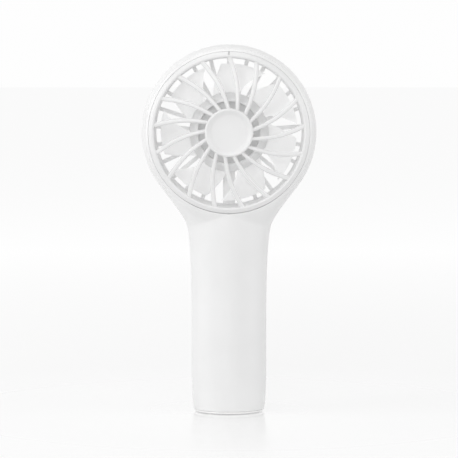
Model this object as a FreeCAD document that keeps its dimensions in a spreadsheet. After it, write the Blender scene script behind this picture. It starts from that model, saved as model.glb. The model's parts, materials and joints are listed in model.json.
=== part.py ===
import FreeCAD, Part
import math
import os
import re

import Sketcher
from FreeCAD import Placement, Rotation, Vector

# Handheld electric fan. Millimetres, +Z up, the front faces -Y, the origin is at
# the centre of the base on the ground. Pieces of the head are modelled about a
# vertical axis and then laid down, so that their +Z points to the fan's rear.

doc = FreeCAD.newDocument("handheld_fan")
sheet = doc.addObject("Spreadsheet::Sheet", "Sizes")

SIZES = [
    # casing
    ("duct_radius", 38, "bore of the air duct"),
    ("head_radius", 45, "outer radius of the round head"),
    ("head_height", 145, "height of the fan's axis"),
    ("head_half", 20.6, "axis plane to the mouth's lip, front and rear"),
    ("head_round", 10, "depth of the round-over at the head's edge"),
    ("round_radius", 13.5, "radius of that round-over"),
    ("mouth_radius", "=duct_radius + 3.4", "opening in the front and rear of the head"),
    ("wall", 2, "wall of the casing"),
    ("cavity_half", 18.3, "axis plane to the inside of the head's walls"),
    ("ledge_radius", "=duct_radius + 1.6", "inner radius of the ledge that carries the grille"),
    ("ledge_front", 19.5, "axis plane to the front of that ledge"),
    ("base_seam", 1.5, "height of the seam between casing and base cap"),
    ("base_radius", 18.4, "handle radius at the bottom"),
    ("handle_radius", 19.35, "handle radius at mid height"),
    ("handle_mid", 45, "height of that middle"),
    ("neck_radius", 20.2, "handle radius where the neck starts to flare"),
    ("neck_blend", 28, "radius of the hollow between handle and flank"),
    ("flank_angle", 37, "lean of the neck's flank from upright"),
    # fits
    ("seat_gap", 0.1, "gap between pieces that stay together"),
    ("run_gap", 0.3, "gap between pieces that move past each other"),
    # duct and rear guard
    ("duct_wall", 1.4, "wall of the air duct"),
    ("duct_front", 16.3, "axis plane to the duct's front end"),
    ("guard_front", 16.6, "axis plane to the front of the rear guard's ring"),
    ("rib_count", 25, "rib positions on the rear guard"),
    ("rib_width", 2.1, "width of a rear rib"),
    ("lead_rib", 6.3, "width of the broad rib that carries the leads"),
    ("bowl_radius", 17, "outer radius of the motor bowl"),
    ("bowl_front", 10, "axis plane to the bowl's face"),
    ("bowl_wall", 1.6, "wall of the motor bowl"),
    # front grille
    ("spoke_count", 17, "spokes of the front grille"),
    ("spoke_width", 2.4, "width of a spoke"),
    ("spoke_bend", 57, "radius of a spoke's sideways curve"),
    ("spoke_drift", 4.2, "how far a spoke drifts sideways on its way in"),
    ("spoke_back", 20.3, "axis plane to the back of the spokes"),
    ("ring_crest", 21.8, "axis plane to the crest of the grille ring"),
    ("disc_radius", 12.4, "radius of the grille's centre disc"),
    ("disc_crest", 24.2, "axis plane to the rim of the centre disc"),
    ("disc_dish", 1.3, "depth of the dish in the centre disc"),
    ("lug_width", 8, "width of a locking lug"),
    ("twist_angle", 18, "turn between locked and free"),
    # impeller and motor
    ("blade_count", 7, "blades of the impeller"),
    ("tip_radius", 35.3, "radius of the blade tips"),
    ("hub_radius", 20.4, "outer radius of the impeller's hub"),
    ("hub_front", 13, "axis plane to the hub's front edge"),
    ("hub_rear", 8.4, "axis plane to the hub's rear edge"),
    ("well_radius", 15.9, "radius of the well in the hub's front"),
    ("web_front", 8, "axis plane to the floor of that well"),
    ("web_rear", 6.2, "axis plane to the back of that floor"),
    ("blade_thick", 1.3, "blade thickness along the axis"),
    ("blade_sweep", 19.7, "turn of a blade between hub and tip"),
    ("blade_span", 37.5, "angle that a blade covers"),
    ("blade_phase", 26, "turn of the first blade's root from the top"),
    ("blade_root", 1.3, "how far a blade's root is set into the hub"),
    ("blade_camber", 1.6, "bow of a blade's section"),
    ("blade_lead", 7.6, "axis plane to the blade's rear edge"),
    ("blade_trail", 9, "axis plane to the blade's front edge"),
    ("cup_radius", 18.5, "outer radius of the rotor cup"),
    ("cup_wall", 1, "wall of the rotor cup"),
    ("magnet_wall", 1.8, "thickness of the magnet ring"),
    ("air_gap", 0.6, "gap between magnet and stator"),
    ("slot_count", 9, "teeth of the stator"),
    ("tooth_width", 2.6, "width of a stator tooth"),
    ("shaft_radius", 1.5, "radius of the motor shaft"),
    ("shaft_play", 0.03, "radial play of the shaft in its bearings"),
    ("bearing_radius", 3.4, "outer radius of the bearings"),
    ("bearing_width", 2.5, "width of a bearing"),
    ("sleeve_radius", 5, "outer radius of the bearing sleeve"),
    ("base_plate", 1.5, "thickness of the motor's base plate"),
    # handle
    ("cell_radius", 10.6, "radius of the battery cell"),
    ("cell_length", 70.15, "length of the battery cell"),
    ("cell_foot", 26.4, "height of the cell's lower end"),
    ("cell_back", 4.6, "cell axis in front of the handle's axis"),
    ("cradle_front", 6.5, "handle axis to the front of the cradle's plate"),
    ("cradle_plate", 1.2, "thickness of the cradle's plate"),
    ("board_front", 8, "handle axis to the front of the main board"),
    ("board_thick", 1.2, "thickness of the main board"),
    ("board_half", 11, "half width of the main board"),
    ("board_low", 10, "height of the board's lower edge"),
    ("board_high", 86, "height of the board's upper edge"),
    ("button_height", 76, "height of the power button"),
    ("button_radius", 5.5, "radius of the power button"),
    ("button_proud", 0.9, "how far the button stands past the handle's middle radius"),
    ("port_height", 16, "height of the charging socket"),
    ("port_width", 8.94, "width of the charging socket"),
    ("port_thick", 3.26, "height of the charging socket's shell"),
    ("lamp_height", 61.5, "height of the charge lamps' window"),
    ("lamp_length", 12, "length of that window"),
    ("lead_radius", 0.6, "radius of a motor lead"),
    # fasteners
    ("cap_foot", 0.4, "height of the base cap's lower edge"),
    ("pad_radius", 15.8, "radius of the soft base pad"),
    ("pad_thick", 1.1, "thickness of the soft base pad"),
    ("screw_radius", 1.1, "radius of a casing screw's shank"),
    ("screw_head", 2, "radius of a casing screw's head"),
    ("post_radius", 2.3, "radius of a casing screw post"),
    ("screw_grip", 6, "depth that a casing screw bites into the front post"),
    ("post_reach", 15.5, "length of the neck posts"),
    ("post_sink", 9, "parting plane to the seat of the neck screw heads"),
    ("neck_post", 14.8, "sideways place of the neck posts"),
    ("neck_post_height", 102.1, "height of the neck posts"),
    ("base_post", 14.4, "handle axis to the base screws"),
    ("base_post_height", 7, "length of the base screw posts"),
    ("cap_top", 5.5, "height of the base cap's collar"),
]

for row, (alias, number, note) in enumerate(SIZES, 1):
    sheet.set(f"A{row}", alias)
    sheet.set(f"B{row}", str(number))
    sheet.set(f"C{row}", note)
    sheet.setAlias(f"B{row}", alias)
doc.recompute()
ALIASES = {alias for alias, _, _ in SIZES}


def bound(text):
    """The expression with each size's name tied to its cell."""
    def cell(match):
        word = match.group()
        return "Sizes." + word if word in ALIASES else word
    return re.sub(r"[a-z][a-z_0-9]*", cell, str(text))


def value(text):
    """The expression's number now."""
    result = sheet.evalExpression(bound(text))
    return float(getattr(result, "Value", result))


def tie(thing, **links):
    """Binds properties to expressions; a double underscore stands for a dot."""
    for name, text in links.items():
        thing.setExpression(name.replace("__", "."), bound(text))


def place(thing, x="0", y="0", z="0", turn=None):
    """Puts a piece at an expression-driven place, turned as told."""
    if turn:
        thing.Placement = Placement(Vector(), turn)
    tie(thing, Placement__Base__x=x, Placement__Base__y=y, Placement__Base__z=z)
    return thing


TO_REAR = Rotation(Vector(1, 0, 0), -90)


# Sketched bodies

def new_body(label):
    body = doc.addObject("PartDesign::Body", label)
    body.Label = label
    body.AllowCompound = True
    return body


def head_body(label):
    """A body modelled about Z and laid down onto the fan's axis."""
    return place(new_body(label), z="head_height", turn=TO_REAR)


def new_sketch(body, role, x="0", y="0", lift="0"):
    sketch = body.newObject("Sketcher::SketchObject", "outline")
    origin = next(f for f in body.Origin.OriginFeatures if f.Role == role)
    sketch.AttachmentSupport = [(origin, "")]
    sketch.MapMode = "FlatFace"
    tie(sketch, AttachmentOffset__Base__x=x, AttachmentOffset__Base__y=y, AttachmentOffset__Base__z=lift)
    return sketch


def pin_point(sketch, geometry, corner, x, y):
    """Ties one point of a sketch to expressions for its place."""
    for kind, text, axis in (("DistanceX", x, -2), ("DistanceY", y, -1)):
        if text == "0":
            sketch.addConstraint(Sketcher.Constraint("PointOnObject", geometry, corner, axis))
            continue
        index = sketch.addConstraint(
            Sketcher.Constraint(kind, -1, 1, geometry, corner, value(text)))
        sketch.setExpression(f"Constraints[{index}]", bound(text))


def arc_middle(start, end, radius, bulge_right):
    """The middle of the short arc from start to end that bulges to its right or left."""
    chord = end - start
    side = Vector(chord.y, -chord.x, 0).normalize()
    if not bulge_right:
        side = side * -1
    half = chord.Length / 2
    sagitta = radius - math.sqrt(radius ** 2 - half ** 2)
    return (start + end) / 2 + side * sagitta


def draw_outline(sketch, corners):
    """A closed line through corners given as (x, y) or, where the line to the
    next corner is an arc, (x, y, radius, "right" or "left" bulge)."""
    count = len(corners)
    points = [Vector(value(c[0]), value(c[1]), 0) for c in corners]
    first = sketch.GeometryCount
    heads = []
    for number, corner in enumerate(corners):
        start = points[number]
        end = points[(number + 1) % count]
        if len(corner) == 2:
            sketch.addGeometry(Part.LineSegment(start, end))
            heads.append((1, 2))
            continue
        middle = arc_middle(start, end, value(corner[2]), corner[3] == "right")
        sketch.addGeometry(Part.Arc(start, middle, end))
        heads.append((1, 2) if corner[3] == "right" else (2, 1))
    for number, corner in enumerate(corners):
        here = first + number
        ahead = first + (number + 1) % count
        tail = heads[number][1]
        sketch.addConstraint(
            Sketcher.Constraint("Coincident", here, tail, ahead, heads[(number + 1) % count][0]))
        pin_point(sketch, here, heads[number][0], corner[0], corner[1])
        if len(corner) > 2:
            index = sketch.addConstraint(Sketcher.Constraint("Radius", here, value(corner[2])))
            sketch.setExpression(f"Constraints[{index}]", bound(corner[2]))
    return sketch


def draw_circle(sketch, x, y, radius):
    circle = Part.Circle(Vector(value(x), value(y), 0), Vector(0, 0, 1), value(radius))
    number = sketch.addGeometry(circle)
    pin_point(sketch, number, 3, x, y)
    index = sketch.addConstraint(Sketcher.Constraint("Radius", number, value(radius)))
    sketch.setExpression(f"Constraints[{index}]", bound(radius))
    return sketch


def rectangle(half_x, low_y, high_y):
    return [(f"-({half_x})", low_y), (half_x, low_y), (half_x, high_y), (f"-({half_x})", high_y)]


def revolve(body, sketch, cut=False, axis="V_Axis"):
    kind = "PartDesign::Groove" if cut else "PartDesign::Revolution"
    feature = body.newObject(kind, "turned")
    feature.Profile = sketch
    feature.ReferenceAxis = (sketch, [axis])
    feature.Angle = 360
    doc.recompute()
    return feature


def turned(body, corners, cut=False):
    """Material, or a cut, turned about the body's own Z from a (radius, height) outline."""
    return revolve(body, draw_outline(new_sketch(body, "XZ_Plane"), corners), cut)


def extrude(body, sketch, length, cut=False, reverse=False):
    feature = body.newObject("PartDesign::Pocket" if cut else "PartDesign::Pad", "raised")
    feature.Profile = sketch
    tie(feature, Length=length)
    feature.Reversed = reverse
    doc.recompute()
    return feature


def repeat(body, feature, count, sketch, angle="360"):
    """The feature repeated about the line through its sketch's origin."""
    pattern = body.newObject("PartDesign::PolarPattern", "repeat")
    pattern.Originals = [feature]
    pattern.Axis = (sketch, ["N_Axis"])
    tie(pattern, Occurrences=count, Angle=angle)
    body.Tip = pattern
    doc.recompute()
    return pattern


# Simple solids

def box(x, y, z, width, depth, height):
    """A box centred on x, from y and z upwards."""
    thing = doc.addObject("Part::Box", "box")
    tie(thing, Length=width, Width=depth, Height=height)
    return place(thing, f"({x}) - ({width}) / 2", y, z)


def rod(x, y, z, radius, length, turn=None):
    thing = doc.addObject("Part::Cylinder", "rod")
    tie(thing, Radius=radius, Height=length)
    return place(thing, x, y, z, turn)


def fuse(*things):
    joined = doc.addObject("Part::MultiFuse", "joined")
    joined.Shapes = list(things)
    return joined


def cut(base, *tools):
    for tool in tools:
        result = doc.addObject("Part::Cut", "cut")
        result.Base = base
        result.Tool = tool
        base = result
    return base


def group(label, things):
    """Several separate solids in one node."""
    bundle = doc.addObject("Part::Compound", label)
    bundle.Links = list(things)
    bundle.Label = label
    return bundle


def named(label, thing):
    thing.Label = label
    return thing


# Casing: the neck's flank leans out from the handle until it meets the head.

FLANK_FOOT = ("(head_height - head_radius * sin(flank_angle)"
              " - (head_radius * cos(flank_angle) - neck_radius) / tan(flank_angle))")
BLEND_FOOT = f"({FLANK_FOOT} - neck_blend * tan(flank_angle / 2))"


BLEND_RISE = "neck_blend * sin(flank_angle)"
FLARE_TOP = "(head_height - head_radius * 0.6)"


def head_sketch(body, corners):
    """An outline of (depth, radius) corners about the fan's axis."""
    return draw_outline(new_sketch(body, "YZ_Plane", y="head_height"), corners)


def handle_form(label, inset, depth):
    """The turned handle and neck, flattened front and rear, inset from the outer skin."""
    body = new_body(label)
    blend_out = f"(neck_radius + neck_blend * (1 - cos(flank_angle)) - {inset})"
    rise = f"({FLARE_TOP} - {BLEND_FOOT} - {BLEND_RISE})"
    turned(body, [
        ("0", f"base_seam - {inset}"), (f"base_radius - {inset}", f"base_seam - {inset}"),
        (f"handle_radius - 0.2 - {inset}", "handle_mid * 0.4"),
        (f"handle_radius - {inset}", "handle_mid"),
        (f"neck_radius - {inset}", BLEND_FOOT, f"neck_blend + {inset}", "left"),
        (blend_out, f"{BLEND_FOOT} + {BLEND_RISE}"),
        (f"{blend_out} + {rise} * tan(flank_angle) - 0.5", FLARE_TOP), ("0", FLARE_TOP),
    ])
    for rear in (False, True):
        lift = f"-({depth})" if rear else depth
        flat = draw_outline(new_sketch(body, "XZ_Plane", lift=lift),
                            rectangle("head_radius * 2", "-10", "head_height * 2"))
        extrude(body, flat, "head_half * 3", cut=True, reverse=not rear)
    return body


def casing_half(label, rear):
    """A half of the casing: handle and head skins, hollow, with its mouth and screw posts."""
    outer = handle_form(label + "_outer", "0", "head_half - 0.3")
    inner = handle_form(label + "_inner", "wall", "cavity_half - 0.2")
    sign = "" if rear else "-"
    away = "-" if rear else ""
    side = "right" if rear else "left"
    drum = [(f"{away}1", "0"), (f"{sign}head_half", "0"),
            (f"{sign}head_half", "mouth_radius + 0.1", "round_radius", side),
            (f"{sign}(head_half - head_round)", "head_radius"), (f"{away}1", "head_radius")]
    revolve(outer, head_sketch(outer, drum), axis="H_Axis")
    mouth = [(f"{sign}30", "0"), (f"{sign}30", "mouth_radius")]
    if rear:
        mouth += [("cavity_half", "mouth_radius")]
    else:
        mouth += [("-ledge_front", "mouth_radius"), ("-ledge_front", "ledge_radius"),
                  ("-cavity_half", "ledge_radius")]
    mouth += [(f"{sign}cavity_half", "head_radius - wall"), (f"{away}2", "head_radius - wall"),
              (f"{away}2", "0")]
    revolve(inner, head_sketch(inner, mouth), axis="H_Axis")
    front = "0" if rear else "-head_half * 2"
    half = box("0", front, "base_seam", "head_radius * 4", "head_half * 2", "head_height * 2")
    blank = doc.addObject("Part::Common", "blank")
    blank.Base = cut(outer, inner)
    blank.Tool = half
    return blank


def along_y(x, start, height, radius, length):
    """A rod that runs rearwards from start."""
    return rod(x, start, height, radius, length, TO_REAR)


SIDES = ("", "-")
NECK_POSTS = [(f"{side}neck_post", "neck_post_height") for side in SIDES]
front_posts = [along_y(x, "-post_reach", z, "post_radius", "post_reach") for x, z in NECK_POSTS]
rear_posts = [along_y(x, "0", z, "post_radius", "post_reach") for x, z in NECK_POSTS]
front_holes = [along_y(x, "-screw_grip - 1", z, "screw_radius + seat_gap", "screw_grip + 2")
               for x, z in NECK_POSTS]
rear_holes = []
for x, z in NECK_POSTS:
    rear_holes.append(along_y(x, "-1", z, "screw_radius + seat_gap", "30"))
    rear_holes.append(along_y(x, "post_sink", z, "screw_head + seat_gap", "30"))


def base_post(side):
    """A post on the casing's inside, above the base cap, that takes a base screw."""
    post = rod("0", f"{side}base_post", "cap_top + seat_gap", "post_radius + 0.3", "base_post_height")
    hole = rod("0", f"{side}base_post", "cap_top - 1", "screw_radius + seat_gap", "base_post_height")
    return post, hole


front_post, front_tap = base_post("-")
rear_post, rear_tap = base_post("")
front_posts.append(front_post)
front_holes.append(front_tap)
rear_posts.append(rear_post)
rear_holes.append(rear_tap)

lug_ways = head_body("lug_ways")
lug_way = new_sketch(lug_ways, "XY_Plane", lift="-(ledge_front + 1)")
tie(lug_way, AttachmentOffset__Rotation__Angle="-twist_angle")
draw_outline(lug_way, rectangle(
    "lug_width / 2 + run_gap", "-(mouth_radius - 0.05)", "-(ledge_radius - 2)"))
first_way = extrude(lug_ways, lug_way, "ledge_front - cavity_half + 2")
repeat(lug_ways, first_way, "3", lug_way)
front_shell = named("front_shell", cut(
    fuse(casing_half("front", rear=False), *front_posts), fuse(*front_holes), lug_ways))
button_hole = along_y("0", "5", "button_height", "button_radius + run_gap", "30")
lamp_hole = box("0", "5", "lamp_height - lamp_length / 2 - seat_gap", "2", "30",
                "lamp_length + seat_gap * 2")
port_body = box("0", "5", "port_height - port_thick / 2 - run_gap", "port_width - port_thick", "30",
                "port_thick + run_gap * 2")
port_ends = [along_y(f"{side}(port_width - port_thick) / 2", "5", "port_height",
                     "port_thick / 2 + run_gap", "30") for side in SIDES]
rear_shell = named("rear_shell", cut(
    fuse(casing_half("rear", rear=True), *rear_posts),
    fuse(*rear_holes), button_hole, lamp_hole, fuse(port_body, *port_ends)))


# Base

base_cap = new_body("base_cap")
turned(base_cap, [
    ("0", "pad_thick"), ("pad_radius + seat_gap", "pad_thick"), ("pad_radius + seat_gap", "cap_foot"),
    ("base_radius - 1", "cap_foot"), ("base_radius - 0.4", "base_seam - seat_gap"),
    ("base_radius - wall - run_gap", "base_seam - seat_gap"),
    ("base_radius - wall - run_gap", "cap_top"),
    ("base_radius - wall * 2", "cap_top"), ("base_radius - wall * 2", "base_seam + 1"),
    ("0", "base_seam + 1"),
])
base_holes = new_sketch(base_cap, "XY_Plane", lift="-5")
head_holes = new_sketch(base_cap, "XY_Plane", lift="-5")
for side in ("", "-"):
    draw_circle(base_holes, "0", f"{side}base_post", "screw_radius + seat_gap")
    draw_circle(head_holes, "0", f"{side}base_post", "screw_head - 0.2 + seat_gap")
extrude(base_cap, base_holes, "20", cut=True, reverse=True)
extrude(base_cap, head_holes, "5 + pad_thick + 0.7 + seat_gap", cut=True, reverse=True)

base_pad = new_body("base_pad")
pad_rim = draw_circle(new_sketch(base_pad, "XY_Plane"), "0", "0", "pad_radius")
extrude(base_pad, pad_rim, "pad_thick")


# Air duct and rear guard

air_duct = head_body("air_duct")
turned(air_duct, [
    ("duct_radius", "-duct_front"), ("duct_radius + duct_wall", "-duct_front"),
    ("duct_radius + duct_wall", "guard_front"), ("duct_radius", "guard_front"),
])

rear_guard = head_body("rear_guard")
turned(rear_guard, [
    ("bearing_radius + 1.6", "bowl_front"), ("bowl_radius", "bowl_front"), ("bowl_radius", "head_half"),
    ("bowl_radius - bowl_wall", "head_half"), ("bowl_radius - bowl_wall", "bowl_front + 2"),
    ("bearing_radius + 1.6", "bowl_front + 2"),
])


def rib(body, width, low, high, start_angle):
    """A straight rib from the bowl out to the guard's ring."""
    sketch = new_sketch(body, "XY_Plane", lift=low)
    sketch.AttachmentOffset = Placement(Vector(), Rotation(Vector(0, 0, 1), start_angle))
    draw_outline(sketch, rectangle(f"({width}) / 2", "bowl_radius - 0.8", "duct_radius + 1"))
    return sketch, extrude(body, sketch, f"({high}) - ({low})")


# The pattern starts one place clear of the two at the bottom, which the broad rib takes.
rib_step = 360 / value("rib_count")
rib_sketch, first_rib = rib(rear_guard, "rib_width", "guard_front", "head_half", rib_step)
repeat(rear_guard, first_rib, "rib_count - 2", rib_sketch, "360 - 360 * 3 / rib_count")
turned(rear_guard, [
    ("duct_radius + 0.1", "guard_front"), ("head_radius - wall - run_gap", "guard_front"),
    ("head_radius - wall - run_gap", "cavity_half - seat_gap"),
    ("mouth_radius - 0.2", "cavity_half - seat_gap"), ("mouth_radius - 0.2", "head_half"),
    ("duct_radius + 0.1", "head_half"),
])
lead_rib = draw_outline(new_sketch(rear_guard, "XY_Plane", lift="guard_front"), rectangle(
    "lead_rib / 2", "bowl_radius - 0.8", "duct_radius + 1"))
extrude(rear_guard, lead_rib, "head_half - guard_front")
lead_way = draw_outline(new_sketch(rear_guard, "XY_Plane", lift="bowl_front + 4"), rectangle(
    "lead_rib / 2 - 1", "bowl_radius - 3", "head_radius"))
extrude(rear_guard, lead_way, "guard_front + 2.3 - bowl_front - 4", cut=True, reverse=True)
lead_slot = draw_outline(new_sketch(rear_guard, "XY_Plane", lift="bowl_front - 1"), rectangle(
    "lead_rib / 2 - 0.5", "6.5", "13"))
extrude(rear_guard, lead_slot, "4", cut=True, reverse=True)
guard_holes = new_sketch(rear_guard, "XY_Plane", lift="bowl_front - 1")
draw_circle(guard_holes, "0", "-11", "0.9")
guard_hole_cut = extrude(rear_guard, guard_holes, "4", cut=True, reverse=True)
repeat(rear_guard, guard_hole_cut, "3", guard_holes)

motor_cover = head_body("motor_cover")
turned(motor_cover, [
    ("0", "head_half - 1.4"), ("bowl_radius - bowl_wall - seat_gap", "head_half - 1.4"),
    ("bowl_radius - bowl_wall - seat_gap", "head_half"), ("bowl_radius - 5", "head_half + 0.7"),
    ("0", "head_half + 0.9"),
])


# Front grille: hub core and spokes first, trimmed to a shallow cone, then ring and disc

front_grille = head_body("front_grille")
turned(front_grille, [
    ("0", "-(disc_crest - disc_dish)"), ("disc_radius - 1", "-(disc_crest - disc_dish)"),
    ("disc_radius - 1", "-(spoke_back + 0.6)"), ("0", "-(spoke_back + 0.6)"),
])
spoke_sketch = new_sketch(front_grille, "XY_Plane", lift="-disc_crest")
draw_outline(spoke_sketch, [
    ("-spoke_width / 2", "-(duct_radius + 1)", "spoke_bend", "right"),
    ("spoke_drift - spoke_width / 2", "-(disc_radius - 2)"),
    ("spoke_drift + spoke_width / 2", "-(disc_radius - 2)", "spoke_bend", "left"),
    ("spoke_width / 2", "-(duct_radius + 1)"),
])
first_spoke = extrude(front_grille, spoke_sketch, "disc_crest - spoke_back")
repeat(front_grille, first_spoke, "spoke_count", spoke_sketch)
turned(front_grille, [
    ("disc_radius - 1", "-(disc_crest - 0.5)"), ("mouth_radius", "-(ring_crest - 0.3)"),
    ("mouth_radius", "-(disc_crest + 2)"), ("disc_radius - 1", "-(disc_crest + 2)"),
], cut=True)
SKIRT = "duct_radius + duct_wall - seat_gap"
turned(front_grille, [
    ("duct_radius + 0.2", "-(duct_front + run_gap)"), (SKIRT, "-(duct_front + run_gap)"),
    (SKIRT, "-(ledge_front + 0.15)"), ("mouth_radius - 0.2", "-(ledge_front + 0.15)"),
    ("mouth_radius - 0.2", "-head_half", "3.2", "left"),
    ("duct_radius + 1.4", "-ring_crest", "2.4", "left"),
    ("duct_radius + 0.2", "-(ring_crest - 0.8)"),
])
turned(front_grille, [
    ("disc_radius - 2.8", "-(disc_crest - disc_dish)"), ("disc_radius - 2.8", "-(spoke_back + 0.6)"),
    ("disc_radius - 0.6", "-(spoke_back + 0.6)"), ("disc_radius", "-(spoke_back + 1.2)"),
    ("disc_radius", "-(disc_crest - 0.5)"), ("disc_radius - 0.5", "-disc_crest"),
    ("disc_radius - 1", "-disc_crest"),
])
lug_sketch = draw_outline(new_sketch(front_grille, "XY_Plane", lift="-(cavity_half - run_gap)"), rectangle(
    "lug_width / 2", "-(ledge_radius + 1.2)", "-(duct_radius + 0.6)"))
first_lug = extrude(front_grille, lug_sketch, "cavity_half - run_gap * 2 - duct_front")
repeat(front_grille, first_lug, "3", lug_sketch)


# Impeller: the blades are one curved face each, swept between hub and tips, then thickened

def blade_point(radius, across):
    """A point of a blade's rear face: across runs from the rear edge, 0, to the front edge, 1."""
    root = value("hub_radius")
    reach = (radius - root) / (value("tip_radius") - root)
    angle = math.radians(value("blade_sweep") * reach + value("blade_span") * across)
    depth = value("blade_lead") * (1 - across) - value("blade_trail") * across
    camber = value("blade_camber") * math.sin(math.pi * across)
    return Vector(radius * math.sin(angle), -radius * math.cos(angle), depth + camber)


def blade_shape():
    """One blade: a skin through curves at three radii, thickened along the axis."""
    root = value("hub_radius - blade_root")
    curves = []
    for reach in (0, 0.5, 1):
        radius = root + (value("tip_radius") - root) * reach
        curve = Part.BSplineCurve()
        curve.interpolate([blade_point(radius, step / 8) for step in range(9)])
        curves.append(Part.Wire([curve.toShape()]))
    skin = Part.makeLoft(curves, False, False)
    return skin.extrude(Vector(0, 0, -value("blade_thick"))).Solids[0]


impeller_hub = new_body("impeller_hub")
turned(impeller_hub, [
    ("shaft_radius + 0.02", "-(web_front + 1.5)"), ("shaft_radius + 2", "-(web_front + 1.5)"),
    ("shaft_radius + 2", "-web_front"), ("well_radius", "-web_front"),
    ("well_radius", "-hub_front", "hub_front - web_front + 2", "right"), ("hub_radius", "-web_front"),
    ("hub_radius", "hub_rear"), ("cup_radius + 0.05", "hub_rear"), ("cup_radius + 0.05", "-web_rear"),
    ("shaft_radius + 0.02", "-web_rear"),
])
blades = []
for number in range(int(value("blade_count"))):
    blade = doc.addObject("Part::Feature", "blade")
    blade.Shape = blade_shape()
    turn = value("blade_phase") + 360 / value("blade_count") * number
    blade.Placement = Placement(Vector(), Rotation(Vector(0, 0, 1), turn))
    blades.append(blade)
bladed_hub = fuse(impeller_hub, *blades)
bladed_hub.Refine = False
impeller = named("impeller", place(bladed_hub, z="head_height", turn=TO_REAR))

motor_shaft = head_body("motor_shaft")
turned(motor_shaft, [
    ("0", "-(web_front + 1.5)"), ("shaft_radius", "-(web_front + 1.5)"),
    ("shaft_radius", "bowl_front + 0.5"), ("shaft_radius - 0.3", "bowl_front + 0.5"),
    ("shaft_radius - 0.3", "bowl_front + 1.1"), ("shaft_radius", "bowl_front + 1.1"),
    ("shaft_radius", "bowl_front + 2"), ("0", "bowl_front + 2"),
])
shaft_clip = head_body("shaft_clip")
turned(shaft_clip, [
    ("shaft_radius - 0.25", "bowl_front + 0.55"), ("shaft_radius + 1.4", "bowl_front + 0.55"),
    ("shaft_radius + 1.4", "bowl_front + 1.05"), ("shaft_radius - 0.25", "bowl_front + 1.05"),
])
CUP_BACK = "web_rear - 0.05"
rotor_cup = head_body("rotor_cup")
turned(rotor_cup, [
    ("shaft_radius + 2", f"-({CUP_BACK})"), ("cup_radius", f"-({CUP_BACK})"),
    ("cup_radius", "hub_rear - 0.9"), ("cup_radius - cup_wall", "hub_rear - 0.9"),
    ("cup_radius - cup_wall", f"-({CUP_BACK} - cup_wall)"),
    ("shaft_radius + 2", f"-({CUP_BACK} - cup_wall)"),
])
MAGNET_IN = "(cup_radius - cup_wall - magnet_wall)"
rotor_magnet = head_body("rotor_magnet")
turned(rotor_magnet, [
    (MAGNET_IN, "-4"), ("cup_radius - cup_wall - 0.05", "-4"),
    ("cup_radius - cup_wall - 0.05", "hub_rear - 1.9"), (MAGNET_IN, "hub_rear - 1.9"),
])


# Motor, fixed half

motor_base = head_body("motor_base")
turned(motor_base, [
    ("bearing_radius + 0.02", "-4"), ("sleeve_radius", "-4"),
    ("sleeve_radius", "bowl_front - base_plate"), (MAGNET_IN, "bowl_front - base_plate"),
    (MAGNET_IN, "bowl_front"), ("bearing_radius + 0.02", "bowl_front"),
])
base_slot = draw_outline(new_sketch(motor_base, "XY_Plane", lift="bowl_front - 2.5"), rectangle(
    "lead_rib / 2 - 0.5", "6", "11.5"))
extrude(motor_base, base_slot, "4", cut=True, reverse=True)
base_tap = draw_circle(new_sketch(motor_base, "XY_Plane", lift="bowl_front - 2.5"), "0", "-11", "0.85")
base_tap_cut = extrude(motor_base, base_tap, "4", cut=True, reverse=True)
repeat(motor_base, base_tap_cut, "3", base_tap)


def bearing(rear_face):
    ring = [("shaft_radius + shaft_play", rear_face), ("bearing_radius", rear_face),
            ("bearing_radius", f"{rear_face} - bearing_width"),
            ("shaft_radius + shaft_play", f"{rear_face} - bearing_width")]
    body = head_body("bearing")
    turned(body, ring)
    return body


motor_bearings = group("motor_bearings", [bearing("bowl_front"), bearing("-1.2")])

stator_core = head_body("stator_core")
stator_bore = new_sketch(stator_core, "XY_Plane", lift="-2.5")
draw_circle(stator_bore, "0", "0", "sleeve_radius + 0.05")
draw_circle(stator_bore, "0", "0", "sleeve_radius + 2.4")
extrude(stator_core, stator_bore, "7")
tooth = draw_outline(new_sketch(stator_core, "XY_Plane", lift="-2.5"), rectangle(
    "tooth_width / 2", "sleeve_radius + 1.4", f"{MAGNET_IN} - air_gap - 1"))
first_tooth = extrude(stator_core, tooth, "7")
repeat(stator_core, first_tooth, "slot_count", tooth)
shoe = draw_outline(new_sketch(stator_core, "XY_Plane", lift="-2.5"), [
    ("-3.8", f"{MAGNET_IN} - air_gap - 1.8"), ("3.8", f"{MAGNET_IN} - air_gap - 1.8"),
    ("3.8", f"sqrt(({MAGNET_IN} - air_gap) ^ 2 - 14.44)", f"{MAGNET_IN} - air_gap", "right"),
    ("-3.8", f"sqrt(({MAGNET_IN} - air_gap) ^ 2 - 14.44)"),
])
first_shoe = extrude(stator_core, shoe, "7")
repeat(stator_core, first_shoe, "slot_count", shoe)

coils = []
for number in range(int(value("slot_count"))):
    coil = cut(box("0", "sleeve_radius + 3.2", "-3.6", "4.8", "4", "9.2"),
               box("0", "sleeve_radius + 3", "-2.5 - seat_gap", "tooth_width + seat_gap * 2", "5",
                   "7 + seat_gap * 2"))
    spot = doc.addObject("Part::Feature", "coil")
    doc.recompute()
    spot.Shape = coil.Shape.copy()
    spin = Rotation(Vector(0, 0, 1), 360 / value("slot_count") * number)
    spot.Placement = Placement(Vector(0, 0, value("head_height")), TO_REAR * spin)
    coils.append(spot)
stator_windings = group("stator_windings", coils)

motor_board = head_body("motor_board")
turned(motor_board, [
    ("sleeve_radius + 0.2", "bowl_front - base_plate - 1.1"),
    (f"{MAGNET_IN} - 0.8", "bowl_front - base_plate - 1.1"),
    (f"{MAGNET_IN} - 0.8", "bowl_front - base_plate - seat_gap"),
    ("sleeve_radius + 0.2", "bowl_front - base_plate - seat_gap"),
])


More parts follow.
